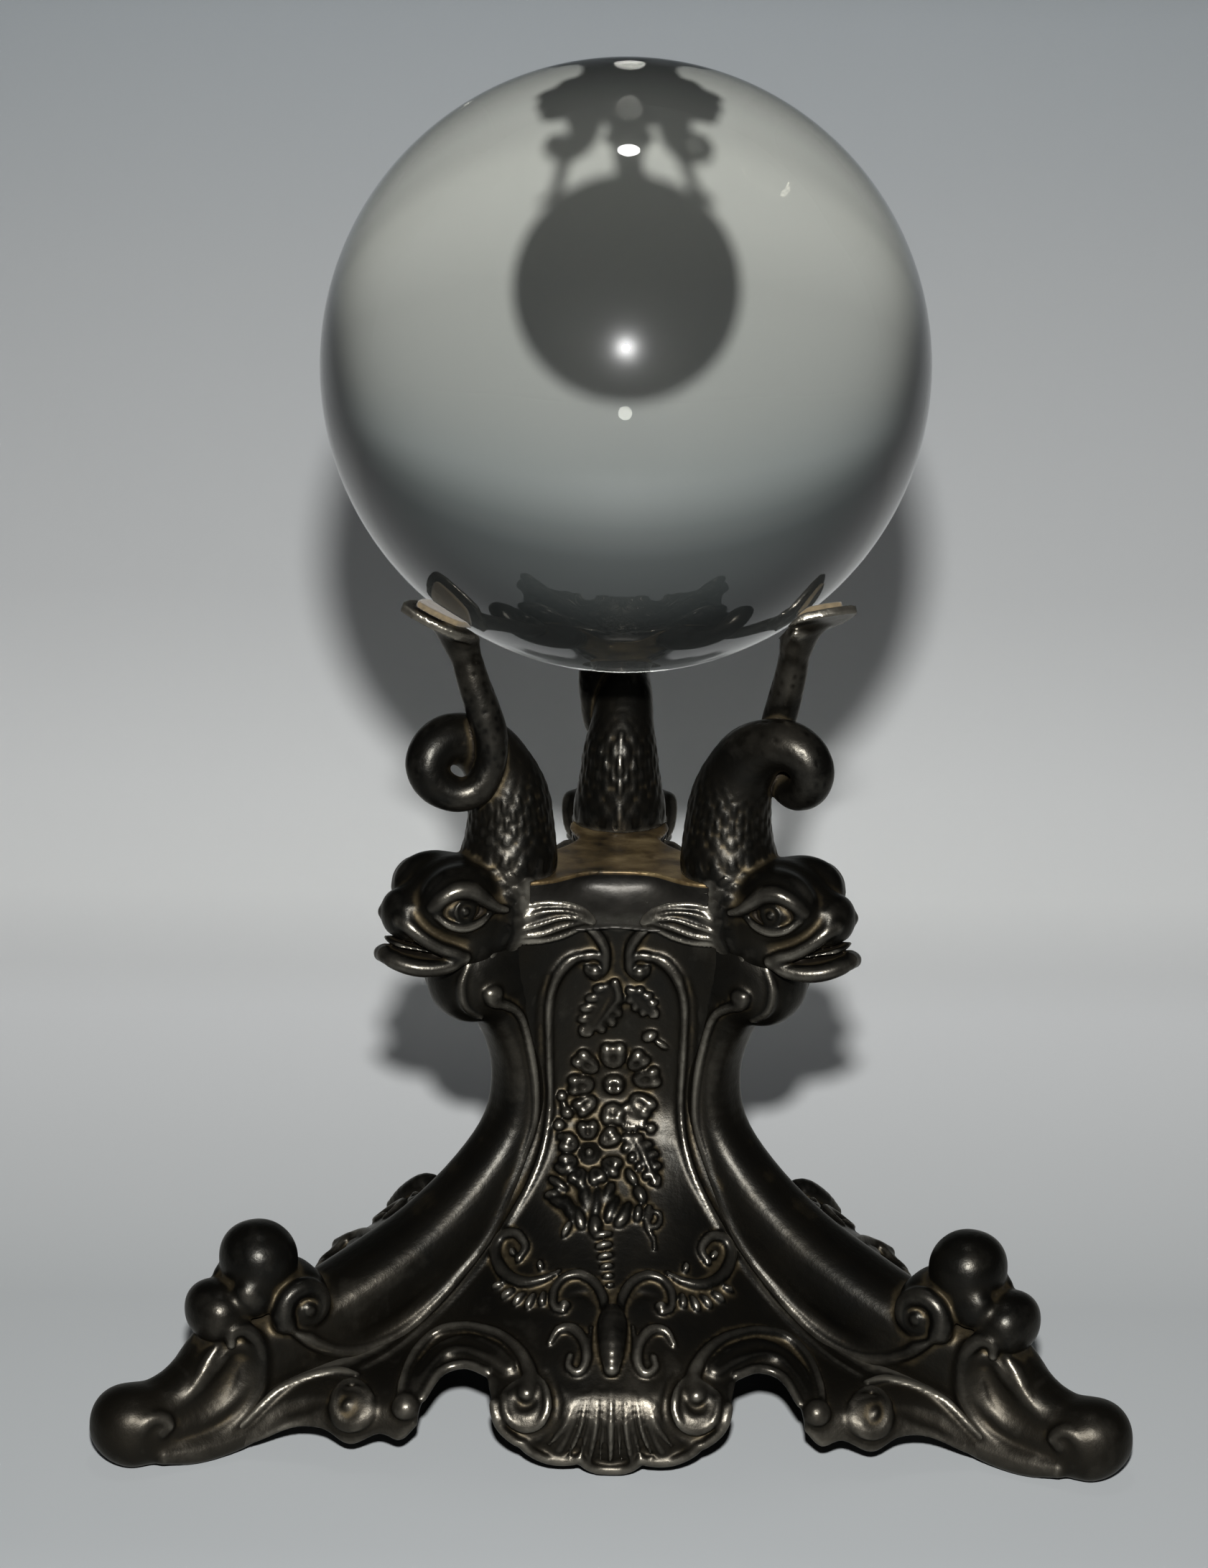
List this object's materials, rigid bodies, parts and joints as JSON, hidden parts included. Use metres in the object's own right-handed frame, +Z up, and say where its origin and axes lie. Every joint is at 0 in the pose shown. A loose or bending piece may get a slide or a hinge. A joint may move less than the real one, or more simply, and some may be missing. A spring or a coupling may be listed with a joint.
{
  "type": "crystal ball on stand",
  "caption": "Clear glass crystal ball resting on the raised tails of cast dolphins, on a waisted tripod stand with scrolled feet and relief panels.",
  "frame": {"origin": "on the surface that the stand rests on, at the middle of the whole object's box; the sphere's vertical axis is at x 0, y -0.02475 m", "axes": "+Z up; the front panel faces -Y; +X to the right seen from the front"},
  "size_m": [0.1872, 0.1641, 0.247],
  "materials": {
    "glass": "clear polished solid glass",
    "cast_metal": "dark oxidised cast white metal, satin, paler on worn high spots and brown in the recesses",
    "felt": "thin tan felt",
    "screw_steel": "plain steel"
  },
  "bodies": {
    "stand": {"deck_plate": "cast_metal", "panel_front": "cast_metal", "panel_right": "cast_metal", "panel_left": "cast_metal", "leg_left": "cast_metal", "dolphin_left": "cast_metal", "tail_felt_left": "felt", "dolphin_screw_left": "screw_steel", "dolphin_washer_left": "screw_steel", "leg_right": "cast_metal", "dolphin_right": "cast_metal", "tail_felt_right": "felt", "dolphin_screw_right": "screw_steel", "dolphin_washer_right": "screw_steel", "leg_rear": "cast_metal", "dolphin_rear": "cast_metal", "tail_felt_rear": "felt", "dolphin_screw_rear": "screw_steel", "dolphin_washer_rear": "screw_steel"},
    "sphere": {"crystal_sphere": "glass"}
  },
  "joints": [
    {"name": "sphere_lift", "type": "slide", "parent": "stand", "child": "sphere", "axis": [0, 0, 1], "range_m": [0, 0.1]}
  ]
}
